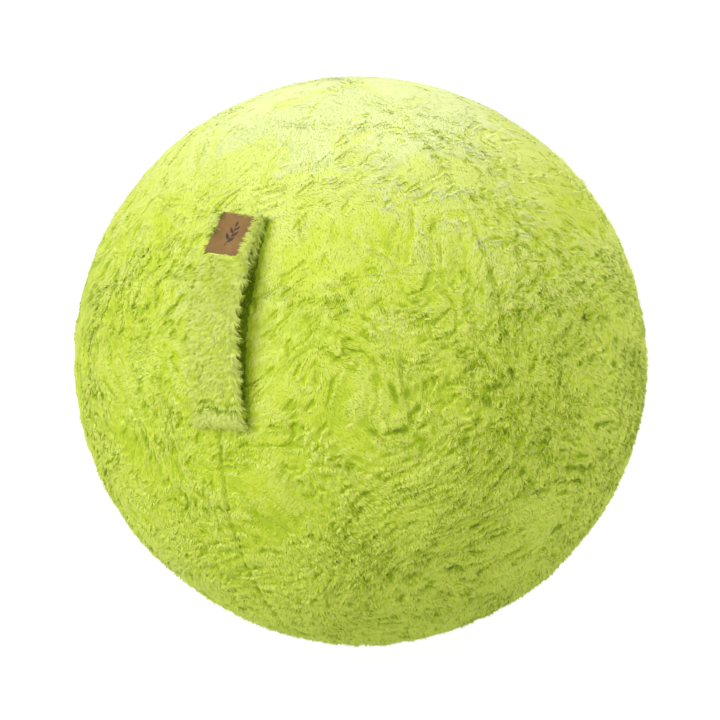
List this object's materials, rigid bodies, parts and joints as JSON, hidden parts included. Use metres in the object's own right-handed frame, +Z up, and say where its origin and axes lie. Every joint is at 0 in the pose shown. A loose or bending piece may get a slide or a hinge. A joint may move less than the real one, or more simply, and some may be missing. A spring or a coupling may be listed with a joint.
{
  "type": "exercise ball",
  "caption": "Inflated sitting and exercise ball in a lime-green plush cover of sewn gores, with a plush carry strap, a tan leatherette label and a zip at the back.",
  "frame": {"origin": "centre of the flat patch on which the ball rests on the floor", "axes": "+Z is up, the carry strap is on the -Y side and the cover's zip on the +Y side, +X is to the right when facing the strap's back"},
  "size_m": [0.6458, 0.6586, 0.6435],
  "materials": {
    "plush": "long soft lime-green pile",
    "seam_thread": "green polyester thread",
    "webbing": "woven green webbing",
    "inner_pvc": "smooth satin PVC",
    "valve_rubber": "matt moulded PVC",
    "valve_plastic": "moulded polyethylene",
    "zip_tape": "woven tape",
    "zip_coil": "nylon coil",
    "zip_metal": "worn antique brass",
    "label_leather": "matt tan leatherette",
    "label_thread": "brown thread"
  },
  "bodies": {
    "root": {"gore_front_left": "plush", "gore_front_right": "plush", "gore_right": "plush", "gore_back_right": "plush", "gore_back_left": "plush", "gore_left": "plush", "seam_thread": "seam_thread", "inner_ball": "inner_pvc", "valve_seat": "valve_rubber", "zip_tape_left": "zip_tape", "zip_tape_right": "zip_tape", "zip_coil_left": "zip_coil", "zip_coil_right": "zip_coil", "zip_top_stop": "zip_metal", "zip_bottom_stop": "zip_metal", "strap_upper": "plush", "strap_lower": "plush", "strap_webbing_upper": "webbing", "strap_webbing_lower": "webbing", "strap_tack_upper": "seam_thread", "strap_tack_lower": "seam_thread", "label": "label_leather", "label_thread": "label_thread"},
    "strap_middle": {"strap_grip": "plush", "strap_webbing_grip": "webbing"},
    "slider": {"zip_slider": "zip_metal"},
    "pull": {"zip_pull": "zip_metal"},
    "plug": {"valve_plug": "valve_plastic"}
  },
  "joints": [
    {"name": "strap_lift", "type": "slide", "parent": "root", "child": "strap_middle", "axis": [0, -0.9272, 0.3746], "range_m": [-0.008, 0.015], "stiffness_N_per_m": 300},
    {"name": "zip_run", "type": "hinge", "parent": "root", "child": "slider", "pos_m": [0, 0, 0.32051], "axis": [-1, 0, 0], "range_deg": [0, 67.5]},
    {"name": "pull_flip", "type": "hinge", "parent": "slider", "child": "pull", "pos_m": [0, 0.31852, 0.37039], "axis": [1, 0, 0], "range_deg": [0, 150]},
    {"name": "plug_draw", "type": "slide", "parent": "root", "child": "plug", "axis": [0, 0.9063, -0.4226], "range_m": [0, 0.003]}
  ]
}
